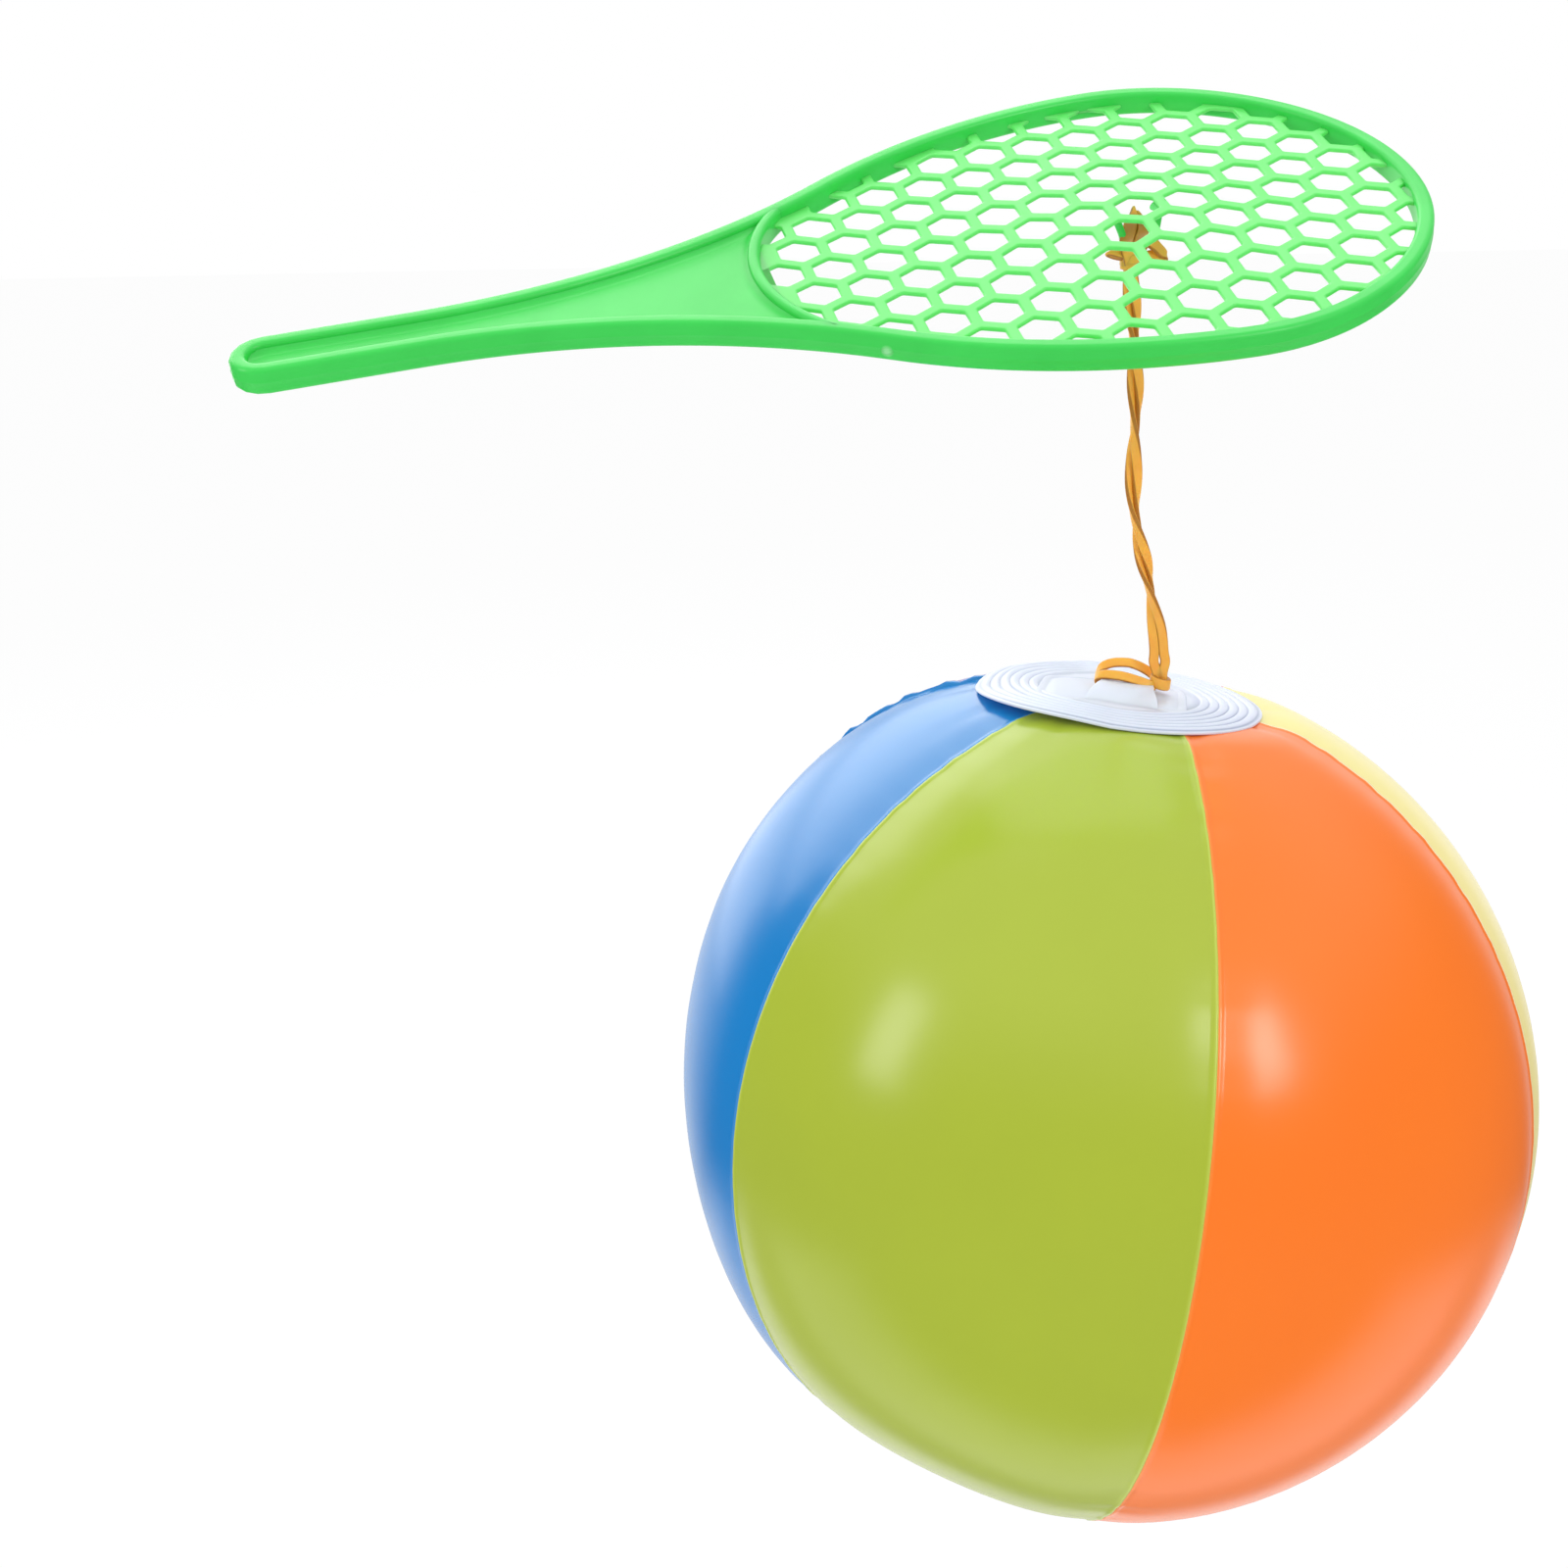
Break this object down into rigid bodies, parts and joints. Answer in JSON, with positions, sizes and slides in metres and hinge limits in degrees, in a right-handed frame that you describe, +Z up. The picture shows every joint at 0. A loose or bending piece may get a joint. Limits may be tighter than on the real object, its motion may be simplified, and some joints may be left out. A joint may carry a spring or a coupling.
{
  "type": "paddle ball set",
  "caption": "Beach paddle with a honeycomb face in a flared rim, and an inflatable panelled ball hanging from it on a twisted rubber band.",
  "frame": {"origin": "middle of the grip, on the handle's axis", "axes": "+X from the grip towards the head, +Z up as the hand holds it, with the ball hanging straight down"},
  "size_m": [0.2651, 0.1839, 0.2996],
  "materials": {
    "rim_plastic": "satin",
    "grid_plastic": "satin",
    "latex": "satin",
    "vinyl_blue": "gloss",
    "vinyl_lime": "gloss",
    "vinyl_orange": "gloss",
    "vinyl_yellow": "gloss",
    "vinyl_red": "gloss",
    "vinyl_violet": "gloss",
    "vinyl_white": "gloss"
  },
  "bodies": {
    "paddle": {"head_rim": "rim_plastic", "handle_frame": "rim_plastic", "honeycomb_face": "grid_plastic", "band_hook": "rim_plastic"},
    "eye": {"band_eye": "latex"},
    "strands": {"band_strands": "latex"},
    "neck": {"band_neck": "latex"},
    "ball": {"panel_blue": "vinyl_blue", "panel_lime": "vinyl_lime", "panel_orange": "vinyl_orange", "panel_yellow": "vinyl_yellow", "panel_red": "vinyl_red", "panel_violet": "vinyl_violet", "top_disc": "vinyl_white", "bottom_disc": "vinyl_white", "lug_strap": "vinyl_white", "valve_stem": "vinyl_white", "band_hitch": "latex"},
    "plug": {"valve_plug": "vinyl_white"}
  },
  "joints": [
    {"name": "swing_side", "type": "hinge", "parent": "paddle", "child": "eye", "pos_m": [0.12345, 0.00195, 0.01259], "axis": [0.9903, 0, 0.1392], "range_deg": [-25, 45]},
    {"name": "swing_fore", "type": "hinge", "parent": "eye", "child": "strands", "pos_m": [0.12345, 0.00195, 0.00789], "axis": [0, 1, 0], "range_deg": [-40, 30]},
    {"name": "stretch", "type": "slide", "parent": "strands", "child": "neck", "axis": [0, 0, -1], "range_m": [0, 0.15], "stiffness_N_per_m": 25, "springref_m": -0.01649, "deforming": ["band_strands"]},
    {"name": "spin", "type": "hinge", "parent": "neck", "child": "ball", "pos_m": [0.13312, 0.00195, -0.07537], "axis": [0.1045, 0, 0.9945], "continuous": true},
    {"name": "plug_pull", "type": "slide", "parent": "ball", "child": "plug", "axis": [-0.2862, 0.8432, 0.455], "range_m": [0, 0.009]}
  ]
}
